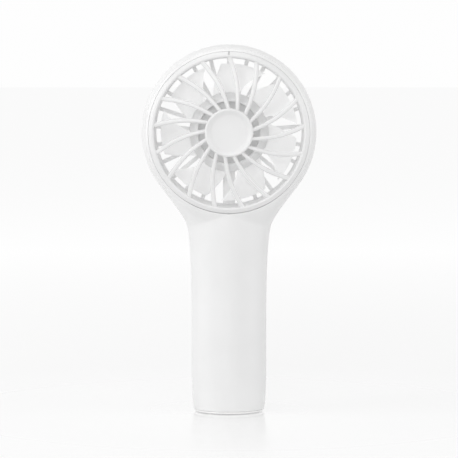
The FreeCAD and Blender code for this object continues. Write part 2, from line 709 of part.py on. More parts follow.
def motor_screw(number):
    body = new_body("motor_screw")
    turned(body, [
        ("0", "bowl_front - 1"), ("0.8", "bowl_front - 1"), ("0.8", "bowl_front + 2"),
        ("1.5", "bowl_front + 2"), ("1.5", "bowl_front + 3.1"), ("0", "bowl_front + 3.1"),
    ])
    angle = math.radians(120 * number)
    across = f"{11 * math.sin(angle):.4f}"
    up = f"head_height + {11 * math.cos(angle):.4f}"
    return place(body, across, "0", up, TO_REAR)


motor_screws = group("motor_screws", [motor_screw(number) for number in range(3)])


# Handle contents

battery_cell = new_body("battery_cell")
turned(battery_cell, [
    ("0", "0"), ("cell_radius - 0.6", "0"), ("cell_radius", "0.6"),
    ("cell_radius", "cell_length - 4.4"), ("cell_radius - 0.5", "cell_length - 4"),
    ("cell_radius - 0.5", "cell_length - 3.4"), ("cell_radius", "cell_length - 3"),
    ("cell_radius", "cell_length - 1"), ("cell_radius - 0.8", "cell_length - 0.5"),
    ("4", "cell_length - 0.5"), ("3.8", "cell_length"), ("0", "cell_length"),
])
place(battery_cell, "0", "-cell_back", "cell_foot")

PLATE_REAR = "(cradle_front + cradle_plate)"
CRADLE_LOW = "(cell_foot - 2.4)"
CRADLE_HIGH = "(cell_foot + cell_length + 2.4)"
CRADLE_HALF = f"(sqrt((handle_radius - 0.2 - wall - run_gap) ^ 2 - {PLATE_REAR} ^ 2))"
BOARD_SCREWS = [(f"{side}9", z) for side in SIDES for z in ("board_low + 22", "board_high - 5")]
cradle_parts = [box("0", "cradle_front", CRADLE_LOW, f"{CRADLE_HALF} * 2", "cradle_plate",
                    f"{CRADLE_HIGH} - {CRADLE_LOW}")]
for low in (CRADLE_LOW, f"{CRADLE_HIGH} - 1.4"):
    cradle_parts.append(box("0", "-12.5", low, "20", "cradle_front + 13", "1.4"))
cradle_parts += [along_y(x, "cradle_front - 2.4", z, "1.9", "2.8") for x, z in BOARD_SCREWS]
cradle_cuts = [along_y(x, "cradle_front - 3", z, "0.75", "6") for x, z in BOARD_SCREWS]
cradle_cuts.append(box("0", "cradle_front - 1", "cell_foot - 0.7", "7", "4", "1"))
cradle_cuts.append(box("0", "cradle_front - 1", "cell_foot + cell_length - 0.2", "7", "4", "1"))
battery_cradle = named("battery_cradle", cut(fuse(*cradle_parts), fuse(*cradle_cuts)))

tabs = []
for foot, reach in (("cell_foot - 0.3", "0"), ("cell_foot + cell_length + 0.1", "1")):
    depth = f"cell_back + 4 + board_front + ({reach}) * 2"
    flat = box("0", "-cell_back - 4", foot, "6", depth, "0.2")
    tabs.append(flat)
battery_tabs = group("battery_tabs", tabs)

board_cuts = [along_y(x, "board_front - 1", z, "1.15", "4") for x, z in BOARD_SCREWS]
main_board = named("main_board", cut(
    box("0", "board_front", "board_low", "board_half * 2", "board_thick", "board_high - board_low"),
    fuse(*board_cuts)))
BOARD_REAR = "(board_front + board_thick)"
# Sideways place, height, side and thickness of each part on the board.
CHIPS = [
    ("-5", "40", "5", "1"), ("4", "46", "6.5", "1.2"), ("-3.8", "29", "6.4", "2.8"),
    ("5", "30", "4", "1"), ("6.5", "64", "3", "1.6"), ("-6.5", "62", "3", "1.6"),
    ("6.5", "54", "2", "0.8"), ("-6", "50", "2", "0.8"),
]
board_parts = group("board_parts", [
    box(x, BOARD_REAR, z, size, thick, size) for x, z, size, thick in CHIPS])

status_leds = group("status_leds", [
    box("0", BOARD_REAR, f"lamp_height - 0.8 + {step} * 2.8", "0.8", "0.6", "1.6")
    for step in (-1.5, -0.5, 0.5, 1.5)])
light_guide = named("light_guide", fuse(
    box("0", f"{BOARD_REAR} + 0.9", "lamp_height - lamp_length / 2", "1.8",
        f"handle_radius + 0.1 - {BOARD_REAR} - 0.9", "lamp_length"),
    box("0", "handle_radius - wall - 1.6", "lamp_height - lamp_length / 2 - 1",
        "4", "1", "lamp_length + 2")))

SOCKET_MOUTH = "(base_radius - 0.3)"
socket_parts = []
for grow, start in (("0", "0"), ("-0.3", "1.2")):
    body = box("0", f"{BOARD_REAR} + {start}", f"port_height - port_thick / 2 - ({grow})",
               "port_width - port_thick", f"{SOCKET_MOUTH} - {BOARD_REAR}",
               f"port_thick + ({grow}) * 2")
    ends = [along_y(f"{side}(port_width - port_thick) / 2", f"{BOARD_REAR} + {start}",
                    "port_height", f"port_thick / 2 + ({grow})", f"{SOCKET_MOUTH} - {BOARD_REAR}")
            for side in SIDES]
    socket_parts.append(fuse(body, *ends))
usb_socket = named("usb_socket", cut(*socket_parts))
usb_tongue = named("usb_tongue", fuse(
    box("0", f"{BOARD_REAR} + 1.2", "port_height - 1.2", "6.6", "2.2", "2.4"),
    box("0", f"{BOARD_REAR} + 1.2", "port_height - 0.35", "6.6",
        f"{SOCKET_MOUTH} - {BOARD_REAR} - 2", "0.7")))

SWITCH_TOP = f"({BOARD_REAR} + 3.1)"
button_switch = named("button_switch", cut(
    box("0", BOARD_REAR, "button_height - 3", "6", "3.1", "6"),
    along_y("0", f"{SWITCH_TOP} - 1.3", "button_height", "1.95", "2")))
switch_plunger = named("switch_plunger", along_y(
    "0", f"{SWITCH_TOP} - 0.6", "button_height", "1.75", "1.8"))
FLANGE = "(sqrt((handle_radius - wall) ^ 2 - (button_radius + 1.1) ^ 2) - run_gap)"
power_button = place(new_body("power_button"), z="button_height", turn=TO_REAR)
turned(power_button, [
    ("0", f"{SWITCH_TOP} + 1.25"), ("1.6", f"{SWITCH_TOP} + 1.25"), ("1.6", f"{FLANGE} - 1"),
    ("button_radius + 1.1", f"{FLANGE} - 1"), ("button_radius + 1.1", FLANGE),
    ("button_radius", FLANGE),
    ("button_radius", "handle_radius + button_proud - 0.5"),
    ("button_radius - 0.5", "handle_radius + button_proud"),
    ("2.5", "handle_radius + button_proud - 0.3"),
    ("0", "handle_radius + button_proud - 0.35"),
])


# Leads from the motor board down to the main board: straight runs joined by arcs

LEAD_REST = value(BOARD_REAR) + value("lead_radius") + 0.05
LEAD_LIFT = value("guard_front") + value("lead_radius") + 0.2
LEAD_ROUTE = [
    (value("bowl_front") - value("base_plate") + 0.3, value("head_height") - 7.8),
    (LEAD_LIFT, value("head_height") - 14),
    (LEAD_LIFT, value("head_height") - 43.5),
    (LEAD_REST, value("board_high") + 2.5),
    (LEAD_REST, value("board_high") - 7),
]


def tube_path(route, x):
    """Straight runs joined by tangent arcs, each as wide as its two runs allow."""
    points = [Vector(x, y, z) for y, z in route]
    edges = []
    start = points[0]
    for before, corner, after in zip(points, points[1:], points[2:]):
        into = (corner - before).normalize()
        out = (after - corner).normalize()
        turn = into.getAngle(out)
        cut_back = 0.45 * min((corner - before).Length, (after - corner).Length)
        radius = cut_back / math.tan(turn / 2)
        print("lead bend radius", round(radius, 1))
        enter = corner - into * cut_back
        leave = corner + out * cut_back
        inward = (out - into).normalize()
        middle = corner + inward * (radius / math.cos(turn / 2) - radius)
        edges += [Part.LineSegment(start, enter).toShape(), Part.Arc(enter, middle, leave).toShape()]
        start = leave
    edges.append(Part.LineSegment(start, points[-1]).toShape())
    return Part.Wire(edges)


leads = []
for number in (-1, 0, 1):
    path = tube_path(LEAD_ROUTE, number * (value("lead_radius") * 2 + 0.1))
    first = path.Edges[0]
    direction = first.tangentAt(first.FirstParameter)
    ring = Part.Wire(Part.makeCircle(value("lead_radius"), first.valueAt(first.FirstParameter), direction))
    lead = doc.addObject("Part::Feature", "lead")
    lead.Shape = path.makePipeShell([ring], True, True)
    leads.append(lead)
motor_leads = group("motor_leads", leads)


# Fasteners

def screw(x, z, seat, length, head_radius, shank_radius, head_depth):
    """A screw along Y: its head sits on seat and its shank runs forwards."""
    return fuse(along_y(x, f"({seat}) - ({length})", z, shank_radius, length),
                along_y(x, seat, z, head_radius, head_depth))


shell_screws = group("shell_screws", [
    screw(x, z, "post_sink", "post_sink + screw_grip", "screw_head", "screw_radius", "1.6")
    for x, z in NECK_POSTS])
board_screws = group("board_screws", [
    screw(x, z, BOARD_REAR, "4.6", "1.7", "0.7", "1.1") for x, z in BOARD_SCREWS])
base_screws = group("base_screws", [
    fuse(rod("0", f"{side}base_post", "base_seam", "screw_radius",
             "cap_top + base_post_height - base_seam - 2"),
         rod("0", f"{side}base_post", "pad_thick + seat_gap", "screw_head - 0.2", "0.6"))
    for side in SIDES])


# Checks and export

NODES = [
    front_shell, rear_shell, base_cap, base_pad, air_duct, rear_guard, motor_cover, front_grille,
    impeller, motor_shaft, shaft_clip, rotor_cup, rotor_magnet, motor_base, motor_bearings, stator_core,
    stator_windings, motor_board, motor_screws, battery_cell, battery_cradle, battery_tabs, main_board,
    board_parts, status_leds, light_guide, usb_socket, usb_tongue, button_switch, switch_plunger,
    power_button, motor_leads, shell_screws, board_screws, base_screws,
]

doc.recompute()
failed = [thing.Label for thing in doc.Objects if "Invalid" in thing.State or "Error" in thing.State]
if failed:
    raise RuntimeError(f"failed objects: {failed}")
for node in NODES:
    if node.Shape.isNull() or not node.Shape.isValid():
        raise RuntimeError(f"bad shape: {node.Label}")

os.makedirs("parts", exist_ok=True)
for node in NODES:
    node.Shape.exportStep(f"parts/{node.Label}.step")
    print(node.Label, len(node.Shape.Solids), "solids", round(node.Shape.Volume, 1), "mm3")
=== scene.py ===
import json
import math

import bpy
from bpy.props import FloatProperty, FloatVectorProperty, IntProperty, PointerProperty
from mathutils import Matrix, Vector


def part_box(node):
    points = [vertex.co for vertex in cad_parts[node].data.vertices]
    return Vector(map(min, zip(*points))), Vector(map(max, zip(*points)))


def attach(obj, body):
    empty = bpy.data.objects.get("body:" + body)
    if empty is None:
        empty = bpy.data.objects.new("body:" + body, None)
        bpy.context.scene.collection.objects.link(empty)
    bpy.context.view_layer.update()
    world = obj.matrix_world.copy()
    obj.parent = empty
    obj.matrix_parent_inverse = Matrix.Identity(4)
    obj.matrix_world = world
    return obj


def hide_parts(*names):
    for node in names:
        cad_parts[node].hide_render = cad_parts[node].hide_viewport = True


bl_info = {
    "name": "Handheld fan",
    "version": (1, 0, 0),
    "blender": (4, 5, 0),
    "location": "3D View > Sidebar > Fan",
    "description": "Builds the skins, grille, impeller, guard and stage of a handheld electric fan",
    "category": "Add Mesh",
}

MM = 0.001
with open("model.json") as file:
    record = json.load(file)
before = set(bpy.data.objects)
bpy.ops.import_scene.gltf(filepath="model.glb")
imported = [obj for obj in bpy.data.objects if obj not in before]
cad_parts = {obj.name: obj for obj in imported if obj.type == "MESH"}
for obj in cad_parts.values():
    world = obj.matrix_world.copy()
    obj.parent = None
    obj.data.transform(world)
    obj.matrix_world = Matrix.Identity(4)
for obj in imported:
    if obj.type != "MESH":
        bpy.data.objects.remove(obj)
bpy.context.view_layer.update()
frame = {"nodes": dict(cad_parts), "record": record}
SHELL_LOW, SHELL_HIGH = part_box("front_shell")
GRILLE_LOW, GRILLE_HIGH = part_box("front_grille")
GUARD_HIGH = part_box("rear_guard")[1]
CAP_LOW, CAP_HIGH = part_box("base_cap")
PAD_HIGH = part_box("base_pad")[1]
DUCT_LOW, DUCT_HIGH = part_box("air_duct")
BUTTON_LOW, BUTTON_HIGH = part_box("power_button")
LENS_LOW, LENS_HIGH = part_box("light_guide")
SOCKET_LOW, SOCKET_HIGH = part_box("usb_socket")
COVER_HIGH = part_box("motor_cover")[1]
AXLE = next(Vector(joint["pos_m"]) for joint in frame["record"]["behaviour"]["joints"]
            if joint["name"] == "impeller_spin")
AXLE_LINE = Vector((0, 1, 0))
UP = Vector((0, 0, 1))


def length(name, default, description):
    """A length in metres that a user may change."""
    return FloatProperty(name=name, default=default, description=description, unit="LENGTH",
                         precision=5)


def shade(name, default, description):
    """A colour that a user may change."""
    return FloatVectorProperty(name=name, default=default, size=4, subtype="COLOR", min=0, max=1,
                               description=description)


class FanCasingSizes(bpy.types.PropertyGroup):
    """Outer skin of the head, neck and handle."""
    head_radius: length("Head radius", SHELL_HIGH[0], "Outer radius of the round head")
    mouth_radius: length("Mouth radius", 41.4 * MM, "Radius of the opening in front and rear")
    lip_depth: length("Lip depth", -SHELL_LOW[1], "Parting plane to the mouth's lip")
    grip_radius: length("Grip radius", 19.3 * MM, "Radius of the handle at mid height")
    grip_taper: length("Grip taper", 1.15 * MM, "How much the handle draws in at its foot")
    grip_swell: length("Grip swell", 0.9 * MM, "How much the handle widens under the neck")
    flank_lean: FloatProperty(name="Flank lean", default=math.radians(37), subtype="ANGLE",
                              description="Lean of the neck's flank from upright")
    flank_soften: length("Flank softening", 1.35 * MM, "Roundness between handle and flank")
    foot: length("Foot", 1.5 * MM, "Height of the skin's lower edge above the ground")
    wall: length("Wall", 1.8 * MM, "Thickness of the skin")


class FanGrilleSizes(bpy.types.PropertyGroup):
    """Removable front grille."""
    ring_radius: length("Ring radius", GRILLE_HIGH[0], "Outer radius of the grille's ring")
    opening: length("Opening radius", 38.25 * MM, "Inner radius of the grille's ring")
    ring_crest: length("Ring crest", 21.9 * MM, "Parting plane to the top of the ring")
    disc_radius: length("Disc radius", 12.4 * MM, "Radius of the centre disc")
    disc_crest: length("Disc crest", -GRILLE_LOW[1], "Parting plane to the disc's rim")
    disc_dish: length("Disc dish", 1.3 * MM, "Depth of the dish in the disc")
    spokes: IntProperty(name="Spokes", default=17, min=3, description="Number of spokes")
    spoke_width: length("Spoke width", 2.5 * MM, "Width of a spoke at its middle")
    spoke_back: length("Spoke back", 20.2 * MM, "Parting plane to the back of the spokes")


class FanRotorSizes(bpy.types.PropertyGroup):
    """Impeller."""
    blades: IntProperty(name="Blades", default=7, min=2, description="Number of blades")
    tip_radius: length("Tip radius", 35.3 * MM, "Radius of the blade tips")
    hub_radius: length("Hub radius", 20.4 * MM, "Outer radius of the hub")
    well_radius: length("Well radius", 15.9 * MM, "Radius of the well in the hub's front")
    blade_thick: length("Blade thickness", 1.5 * MM, "Thickest part of a blade")


class FanGuardSizes(bpy.types.PropertyGroup):
    """Rear guard."""
    ribs: IntProperty(name="Rib places", default=25, min=5, description="Places for ribs")
    rib_width: length("Rib width", 2.1 * MM, "Width of a rib")
    lead_rib: length("Lead rib", 6.3 * MM, "Width of the rib that carries the leads")


class FanColours(bpy.types.PropertyGroup):
    """Colours of the moulded parts and the stage."""
    casing: shade("Casing", (0.80, 0.80, 0.80, 1), "White of the casing")
    # The grille is set a little darker than the casing: painted shade that tones down the strong front
    # light on it.
    grille: shade("Grille", (0.765, 0.765, 0.765, 1), "White of the grille")
    # Impeller and guard are set whiter than the casing: painted light that makes up for the shade
    # inside the duct.
    impeller: shade("Impeller", (0.9, 0.9, 0.9, 1), "White of the impeller")
    guard: shade("Guard", (0.9, 0.9, 0.9, 1), "White of the rear guard and the air duct")
    silicone: shade("Silicone", (0.62, 0.62, 0.63, 1), "Grey of the base pad")
    floor: shade("Floor", (1, 1, 1, 1), "White of the floor")


# Modelling helpers

def start_clean():
    """Leaves edit mode and deselects everything, so that an operator acts on one piece only."""
    if bpy.context.object and bpy.context.object.mode != "OBJECT":
        bpy.ops.object.mode_set(mode="OBJECT")
    bpy.ops.object.select_all(action="DESELECT")


def pick(piece):
    """Selects one piece alone and makes it active."""
    start_clean()
    piece.select_set(True)
    bpy.context.view_layer.objects.active = piece


def in_edit_mode(piece, *steps):
    """Runs edit-mode steps on everything in a piece."""
    pick(piece)
    bpy.ops.object.mode_set(mode="EDIT")
    bpy.ops.mesh.select_all(action="SELECT")
    for step in steps:
        step()
    bpy.ops.object.mode_set(mode="OBJECT")


def merge_points():
    """Joins selected points that lie on each other."""
    bpy.ops.mesh.remove_doubles(threshold=1e-6)


def point_outwards():
    """Turns every face of the piece in edit mode outwards."""
    bpy.ops.mesh.select_all(action="SELECT")
    bpy.ops.mesh.normals_make_consistent(inside=False)


def close_ends():
    """Fills the open ends of the tube in edit mode."""
    bpy.ops.mesh.select_all(action="DESELECT")
    bpy.ops.mesh.select_non_manifold()
    bpy.ops.mesh.fill_holes(sides=0)


def settle(piece):
    """Puts the piece's place into its mesh."""
    pick(piece)
    bpy.ops.object.transform_apply(location=True, rotation=True, scale=True)


def smooth(piece, angle=32):
    """Shades the piece smooth where its faces meet at less than an angle in degrees."""
    pick(piece)
    bpy.ops.object.shade_smooth_by_angle(angle=math.radians(angle))


def modify(piece, kind, **settings):
    """Adds a modifier and applies it."""
    pick(piece)
    modifier = piece.modifiers.new(kind.title(), kind)
    for key, setting in settings.items():
        setattr(modifier, key, setting)
    bpy.ops.object.modifier_apply(modifier=modifier.name)


def carve(piece, *cutters):
    """Cuts each cutter out of the piece and removes it."""
    for cutter in cutters:
        settle(cutter)
        modify(piece, "BOOLEAN", operation="DIFFERENCE", object=cutter, solver="EXACT")
        bpy.data.objects.remove(cutter, do_unlink=True)


def rounded(corners, steps=5):
    """Corner points (a, b, radius) as a line with its corners turned into arcs."""
    line = []
    count = len(corners)
    for number, (a, b, radius) in enumerate(corners):
        here = Vector((a, b))
        if radius == 0:
            line.append(here)
            continue
        before = (Vector(corners[number - 1][:2]) - here).normalized()
        after = (Vector(corners[(number + 1) % count][:2]) - here).normalized()
        half = before.angle(after) / 2
        start = here + before * radius / math.tan(half)
        end = here + after * radius / math.tan(half)
        centre = here + (before + after).normalized() * radius / math.sin(half)
        for step in range(steps + 1):
            spot = start.lerp(end, step / steps)
            line.append(centre + (spot - centre).normalized() * radius)
    return line


def spun(name, corners, about, steps=192):
    """A closed outline of (radius, depth) corners, in millimetres, spun about the fan's axle
    (depth to the rear) or about the handle's axis (depth upwards)."""
    start_clean()
    line = rounded(corners)
    bpy.ops.mesh.primitive_circle_add(vertices=len(line), radius=MM, fill_type="NOTHING")
    piece = bpy.context.object
    piece.name = name
    for vertex, (radius, depth) in zip(piece.data.vertices, line):
        if about == "AXLE":
            vertex.co = AXLE + Vector((radius * MM, depth * MM, 0))
        else:
            vertex.co = Vector((radius * MM, 0, depth * MM))
    centre = AXLE if about == "AXLE" else Vector()
    axis = AXLE_LINE if about == "AXLE" else UP
    in_edit_mode(
        piece,
        lambda: bpy.ops.mesh.spin(steps=steps, angle=math.tau, center=centre, axis=axis),
        lambda: bpy.ops.mesh.select_all(action="SELECT"),
        merge_points,
        point_outwards,
    )
    smooth(piece)
    return piece


def formed(name, across, along, spot, closed):
    """A grid whose points sit where spot(u, v) says, closed to a tube with ends if asked."""
    start_clean()
    bpy.ops.mesh.primitive_grid_add(x_subdivisions=across, y_subdivisions=along, size=2)
    piece = bpy.context.object
    piece.name = name
    for vertex in piece.data.vertices:
        vertex.co = spot((vertex.co.x + 1) / 2, (vertex.co.y + 1) / 2)
    in_edit_mode(piece, merge_points, *([close_ends] if closed else []), point_outwards)
    return piece


def about_axle(turn):
    """A turn about the fan's axle."""
    return Matrix.Translation(AXLE) @ Matrix.Rotation(turn, 4, AXLE_LINE) @ Matrix.Translation(-AXLE)


def ring_of(piece, turns):
    """Copies of a piece turned about the axle by each angle, joined into it."""
    copies = []
    for turn in turns:
        mesh = piece.data.copy()
        mesh.transform(about_axle(turn))
        twin = bpy.data.objects.new(piece.name, mesh)
        bpy.context.collection.objects.link(twin)
        copies.append(twin)
    pick(piece)
    for twin in copies:
        twin.select_set(True)
    bpy.ops.object.join()
    return piece


def block(name, low, high, bevel=0.0, segments=3):
    """A cube primitive stretched between two corners, in metres, with rounded edges."""
    start_clean()
    bpy.ops.mesh.primitive_cube_add(size=1)
    piece = bpy.context.object
    piece.name = name
    low, high = Vector(low), Vector(high)
    for vertex in piece.data.vertices:
        vertex.co = Vector(low[i] + (vertex.co[i] + 0.5) * (high[i] - low[i]) for i in range(3))
    if bevel:
        modify(piece, "BEVEL", width=bevel, segments=segments, limit_method="ANGLE")
    return piece


def peg(name, spot, radius, depth):
    """A round cutter that lies front to back."""
    start_clean()
    bpy.ops.mesh.primitive_cylinder_add(vertices=64, radius=radius, depth=depth, location=spot,
                                        rotation=(math.pi / 2, 0, 0))
    piece = bpy.context.object
    piece.name = name
    return piece


def finish_piece(piece, body, slot, material, *nodes):
    """Gives a finished piece its body and material, and hides the CAD nodes it stands for. The slot is
    not used.
    """
    piece.data.materials.clear()
    piece.data.materials.append(material)
    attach(piece, body)
    if nodes:
        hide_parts(*nodes)
    return piece


def ease(value):
    """A soft step from 0 to 1, flat at both ends."""
    value = min(1.0, max(0.0, value))
    return value * value * (3 - 2 * value)


# Materials

def new_material(name):
    """An empty node material with its nodes and links."""
    material = bpy.data.materials.new(name)
    material.use_nodes = True
    return material, material.node_tree.nodes, material.node_tree.links


def noise(nodes, links, scale, detail, roughness=0.5):
    """A noise pattern on the piece's own coordinates."""
    coordinates = nodes.new("ShaderNodeTexCoord")
    pattern = nodes.new("ShaderNodeTexNoise")
    pattern.inputs["Scale"].default_value = scale
    pattern.inputs["Detail"].default_value = detail
    pattern.inputs["Roughness"].default_value = roughness
    links.new(coordinates.outputs["Object"], pattern.inputs["Vector"])
    return pattern


def ramp_between(nodes, links, source, low, high, start=0.3, end=0.7):
    """Turns a pattern's value into a colour between two."""
    ramp = nodes.new("ShaderNodeValToRGB")
    ramp.color_ramp.elements[0].position = start
    ramp.color_ramp.elements[1].position = end
    ramp.color_ramp.elements[0].color = low
    ramp.color_ramp.elements[1].color = high
    links.new(source, ramp.inputs["Fac"])
    return ramp


def ranged(nodes, links, source, reach, result):
    """Turns a value that runs over one reach into one that runs over another."""
    spread = nodes.new("ShaderNodeMapRange")
    spread.inputs["From Min"].default_value, spread.inputs["From Max"].default_value = reach
    spread.inputs["To Min"].default_value, spread.inputs["To Max"].default_value = result
    links.new(source, spread.inputs["Value"])
    return spread.outputs["Result"]


def add_grain(nodes, links, pattern, strength, depth):
    """Raises a pattern as a fine relief on the shader."""
    bump = nodes.new("ShaderNodeBump")
    bump.inputs["Strength"].default_value = strength
    bump.inputs["Distance"].default_value = depth
    links.new(pattern, bump.inputs["Height"])
    links.new(bump.outputs["Normal"], nodes["Principled BSDF"].inputs["Normal"])


CLOUD_SCALE = 38
WEAR_SCALE = 160
WEAR_SPREAD = 0.04
SKIN_DEPTH = 1.2 * MM


def surface(name, colour, roughness, grain_size, grain_depth, mottle=0.02, metallic=0.0, skin=0.0,
            glow=0.0):
    """A moulded, cast or rolled surface: mottled colour, uneven gloss and a fine grain, with an even
    white glow where glow is given, which is painted light.
    """
    material, nodes, links = new_material(name)
    shader = nodes["Principled BSDF"]
    shader.inputs["Metallic"].default_value = metallic
    if skin:
        shader.inputs["Subsurface Weight"].default_value = skin
        shader.inputs["Subsurface Radius"].default_value = (SKIN_DEPTH, SKIN_DEPTH, SKIN_DEPTH)
        shader.inputs["Subsurface Scale"].default_value = 1.0
    # Painted light: the glow makes a part shine evenly white though it is no lamp.
    if glow:
        shader.inputs["Emission Color"].default_value = (1, 1, 1, 1)
        shader.inputs["Emission Strength"].default_value = glow
    cloud = noise(nodes, links, CLOUD_SCALE, 4.0)
    darker = tuple(channel * (1 - mottle) for channel in colour[:3]) + (1,)
    lighter = tuple(min(1, channel * (1 + mottle)) for channel in colour[:3]) + (1,)
    tint = ramp_between(nodes, links, cloud.outputs["Fac"], darker, lighter)
    links.new(tint.outputs["Color"], shader.inputs["Base Color"])
    wear = noise(nodes, links, WEAR_SCALE, 5.0, 0.6)
    gloss = ranged(nodes, links, wear.outputs["Fac"], (0.3, 0.7),
                   (roughness - WEAR_SPREAD, roughness + WEAR_SPREAD))
    links.new(gloss, shader.inputs["Roughness"])
    grain = noise(nodes, links, 1 / grain_size, 2.0)
    add_grain(nodes, links, grain.outputs["Fac"], 0.35, grain_depth)
    return material


def banded(name, colour, other, roughness, scale, direction, metallic=0.0, distortion=1.5):
    """A surface with fine bands, such as turned steel, laminations or wound wire."""
    material, nodes, links = new_material(name)
    shader = nodes["Principled BSDF"]
    shader.inputs["Metallic"].default_value = metallic
    shader.inputs["Roughness"].default_value = roughness
    coordinates = nodes.new("ShaderNodeTexCoord")
    bands = nodes.new("ShaderNodeTexWave")
    bands.bands_direction = direction
    bands.inputs["Scale"].default_value = scale
    bands.inputs["Distortion"].default_value = distortion
    links.new(coordinates.outputs["Object"], bands.inputs["Vector"])
    tint = ramp_between(nodes, links, bands.outputs["Fac"], colour, other, 0.2, 0.9)
    links.new(tint.outputs["Color"], shader.inputs["Base Color"])
    add_grain(nodes, links, bands.outputs["Fac"], 0.3, 0.00005)
    return material


# Casing

TAPER_TOP = 18 * MM
SWELL_START = 41 * MM
SWELL_RISE = 46 * MM
GRIP_TOP = 100 * MM
SOFTEN_REACH = 16 * MM
FOOT_EDGE = 1.9 * MM
FOOT_EDGE_DRAW = 0.7
HEAD_STEPS = 84
NECK_STEPS = 120
DEPTH_STEPS = 26
MOUTH_END = 96 * MM
CORE_BEND = 50 * MM
NECK_SETTLE = 20 * MM
FOOT_ROUND = 20 * MM
GRIP_FLAT = 0.3 * MM
NECK_ROUNDING = 1.05
LIP_POWER = 3.4
LIP_REACH = 1.035


def grip_width(casing, height):
    """Half width of the handle alone, in metres, at a height."""
    low = max(0.0, 1 - height / TAPER_TOP)
    high = max(0.0, (height - SWELL_START) / SWELL_RISE)
    return casing.grip_radius - casing.grip_taper * low ** 2 + casing.grip_swell * high ** 3


def outline_width(casing, height):
    """Half width of the casing below the head, handle and flank run softly together."""
    lean = casing.flank_lean
    touch = Vector((casing.head_radius * math.cos(lean), AXLE.z - casing.head_radius * math.sin(lean)))
    flank = touch.x - (touch.y - height) * math.tan(lean)
    grip = grip_width(casing, min(height, GRIP_TOP))
    soften = casing.flank_soften * ease((touch.y - height) / SOFTEN_REACH)
    width = (grip + flank + math.sqrt((grip - flank) ** 2 + 4 * soften ** 2)) / 2
    rise = height - CAP_LOW[2]
    if rise < FOOT_EDGE:
        width -= (FOOT_EDGE - math.sqrt(FOOT_EDGE ** 2 - (FOOT_EDGE - rise) ** 2)) * FOOT_EDGE_DRAW
    return width


def rim_and_core(casing, v):
    """A point of the outline seen from the front, its partner on the mouth or on the middle line,
    how round the skin is between them, and how deep it stands at the partner."""
    lean = casing.flank_lean
    touch_angle = math.pi / 2 + lean
    share = HEAD_STEPS / (HEAD_STEPS + NECK_STEPS)
    head = casing.head_radius
    if v <= share:
        angle = touch_angle * v / share
        spoke = Vector((math.sin(angle), math.cos(angle)))
        middle = Vector((0, AXLE.z))
        return middle + spoke * head, middle + spoke * casing.mouth_radius, 0.0, casing.lip_depth
    top = AXLE.z - head * math.sin(lean)
    height = top + (casing.foot - top) * (v - share) / (1 - share)
    rim = Vector((outline_width(casing, height), height))
    if height > MOUTH_END:
        part = (top - height) / (top - MOUTH_END)
        angle = touch_angle + (math.pi - touch_angle) * part
        core = Vector((0, AXLE.z)) + Vector((math.sin(angle), math.cos(angle))) * casing.mouth_radius
        return rim, core, ease(part * NECK_ROUNDING), casing.lip_depth
    drop = AXLE.z - casing.mouth_radius - MOUTH_END
    drop *= ease((height - CORE_BEND) / (MOUTH_END - CORE_BEND))
    settled = ease((MOUTH_END - height) / NECK_SETTLE)
    depth = casing.lip_depth + (grip_width(casing, height) - GRIP_FLAT - casing.lip_depth) * settled
    if height < FOOT_ROUND:
        depth = min(depth, rim.x)
    return rim, Vector((0, height + drop)), 1.0, depth


def edge_share(rise):
    """How far in from the side wall the head's rounded edge has come, from 0 to 1, at a share of
    its depth: a superellipse cut off at the lip."""
    def inward(part):
        return 1 - (1 - (part / LIP_REACH) ** LIP_POWER) ** (1 / LIP_POWER)

    return inward(rise) / inward(1.0)


def skin_point(casing, u, v, rear):
    """A point of one half of the skin, by u from the parting line, 0, to the lip or the handle's
    middle line, 1, and by v from the top of the head, 0, to the foot, 1."""
    rim, core, roundness, depth = rim_and_core(casing, v)
    rise = math.sin(u * math.pi / 2)
    flat = edge_share(rise)
    full = 1 - math.sqrt(max(0.0, 1 - rise ** 2))
    inward = flat * (1 - roundness) + full * roundness
    spot = rim.lerp(core, inward)
    return Vector((spot.x, depth * rise * (1 if rear else -1), spot.y))


class FAN_OT_casing(bpy.types.Operator):
    """Model the front and rear casing skins"""
    bl_idname = "fan.casing"
    bl_label = "Casing"

    def execute(self, context):
        casing = context.scene.fan_casing
        material = surface("casing_white", context.scene.fan_colours.casing, 0.36, 0.00035, 0.00002,
                           skin=0.1)
        for rear in (False, True):
            name = "casing_rear" if rear else "casing_front"
            piece = formed(name, DEPTH_STEPS, HEAD_STEPS + NECK_STEPS,
                           lambda u, v: skin_point(casing, u, v, rear), closed=False)
            modify(piece, "MIRROR", use_axis=(True, False, False), merge_threshold=1e-6)
            in_edit_mode(piece, merge_points, point_outwards)
            modify(piece, "SOLIDIFY", thickness=casing.wall, offset=-1)
            modify(piece, "BEVEL", width=0.22 * MM, segments=2, limit_method="ANGLE",
                   angle_limit=math.radians(50))
            if rear:
                carve(piece, *rear_openings())
            else:
                tick_low, tick_high = Vector((-0.2, -21.6, 42.6)), Vector((0.2, -19.4, 43.9))
                carve(piece, block("tick", AXLE + tick_low * MM, AXLE + tick_high * MM))
            smooth(piece, 38)
            finish_piece(piece, "casing", "casing_white", material,
                         "rear_shell" if rear else "front_shell")
        ledge = spun("grille_ledge", [
            (39.6, -19.4, 0.1), (43, -19.4, 0.1), (43, -18.3, 0.1), (39.6, -18.3, 0.1),
        ], "AXLE", 256)
        finish_piece(ledge, "casing", "casing_white", material)
        return {"FINISHED"}


